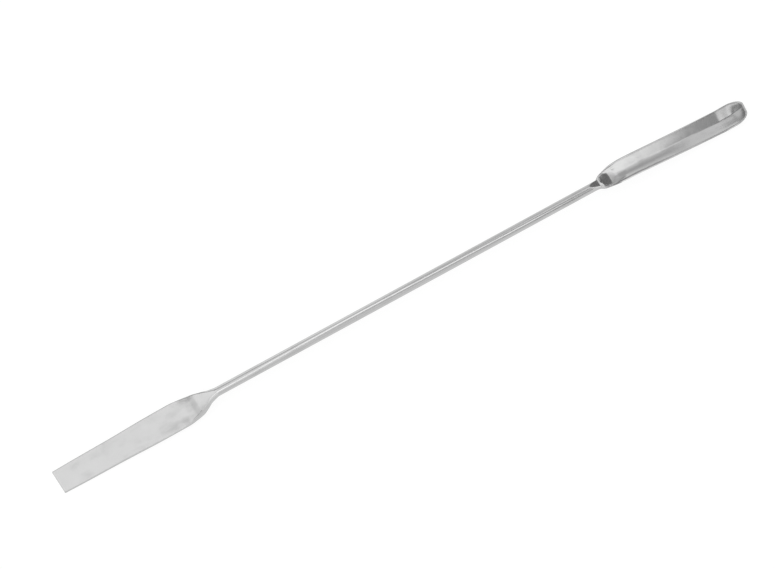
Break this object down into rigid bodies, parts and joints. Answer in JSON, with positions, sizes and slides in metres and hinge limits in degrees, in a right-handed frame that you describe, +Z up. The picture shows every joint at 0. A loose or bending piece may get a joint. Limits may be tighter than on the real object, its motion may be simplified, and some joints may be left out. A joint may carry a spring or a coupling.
{
  "type": "laboratory spatula",
  "caption": "Double-ended laboratory spatula, one piece of stainless steel: a flat square-ended blade and a long rounded scoop joined by a thin round rod, for small amounts of powder.",
  "frame": {"origin": "on the bench, under the middle of the spatula's overall length and width", "axes": "+X along the spatula towards its scoop, +Z up with the channel of the scoop opening upwards"},
  "size_m": [0.2, 0.0076, 0.0045],
  "materials": {
    "steel": "satin-polished stainless steel"
  },
  "bodies": {
    "root": {"spatula": "steel"}
  },
  "joints": []
}
